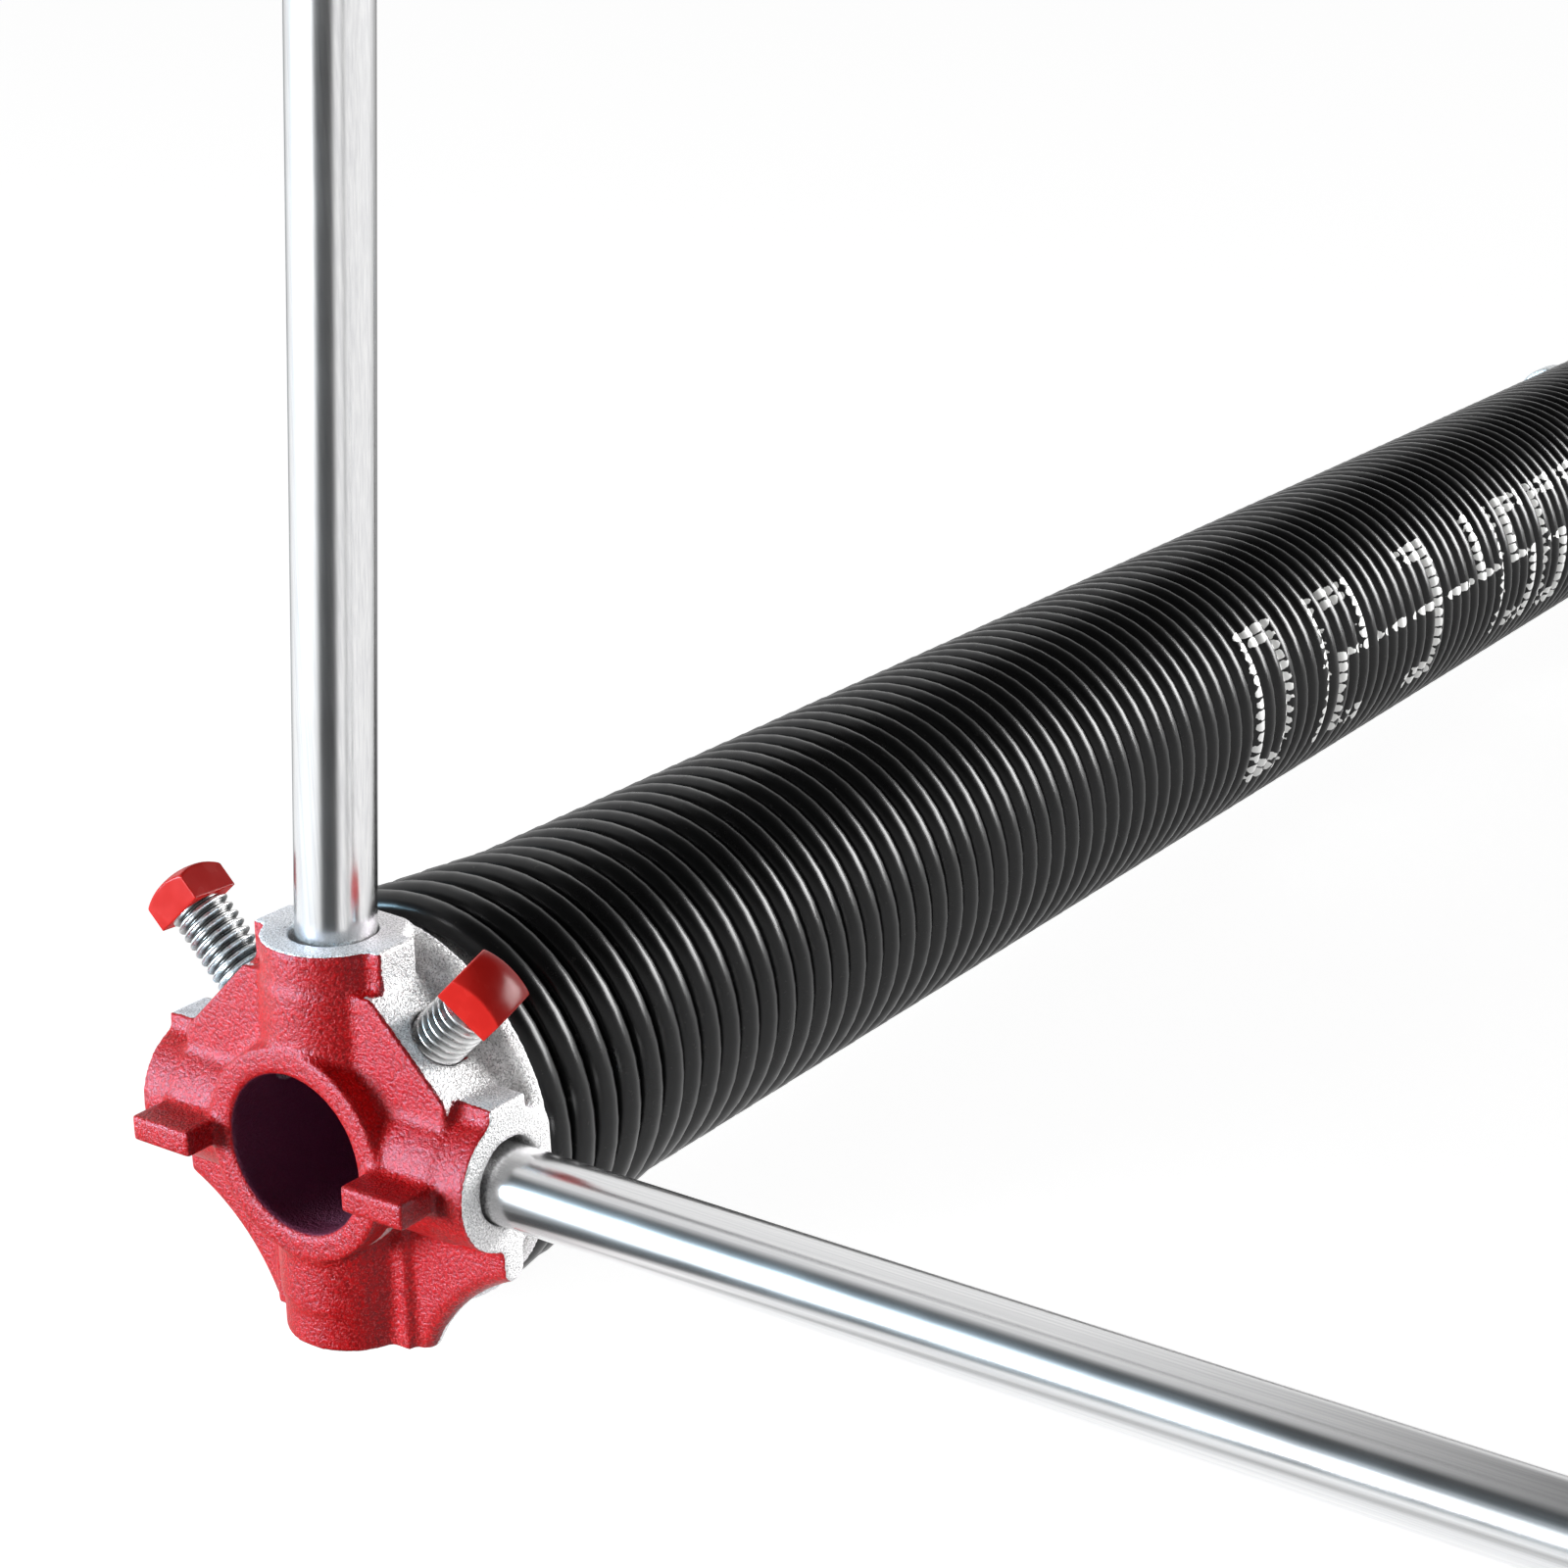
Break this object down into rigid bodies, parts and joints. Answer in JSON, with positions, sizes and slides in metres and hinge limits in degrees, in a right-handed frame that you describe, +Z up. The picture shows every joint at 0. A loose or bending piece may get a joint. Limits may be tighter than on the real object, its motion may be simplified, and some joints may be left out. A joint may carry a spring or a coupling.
{
  "type": "garage door torsion spring",
  "caption": "Right-wound torsion spring held between a socketed winding cone with set screws and a bolt-on stationary cone, winding bars standing in the top and right sockets.",
  "frame": {"origin": "where the axes of the four bar sockets cross the axis of the door shaft, inside the winding cone", "axes": "+Y runs along the door shaft from the winding cone to the stationary cone, +X along the right bar socket, +Z up along the top bar socket"},
  "size_m": [0.5284, 0.6475, 0.5083],
  "materials": {
    "red_casting": "cast aluminium dipped in satin red paint, bare on the socket ends and behind",
    "plated_screw": "zinc-plated steel with a red-dipped square head",
    "spring_wire": "dark oil-tempered wire with a light oil film",
    "bare_casting": "as-cast aluminium",
    "bar_steel": "bright drawn steel"
  },
  "bodies": {
    "root": {"winding_cone": "red_casting", "set_screw_left": "plated_screw", "set_screw_right": "plated_screw", "spring_coil": "spring_wire", "stationary_cone": "bare_casting", "winding_bar_top": "bar_steel", "winding_bar_right": "bar_steel"}
  },
  "joints": []
}
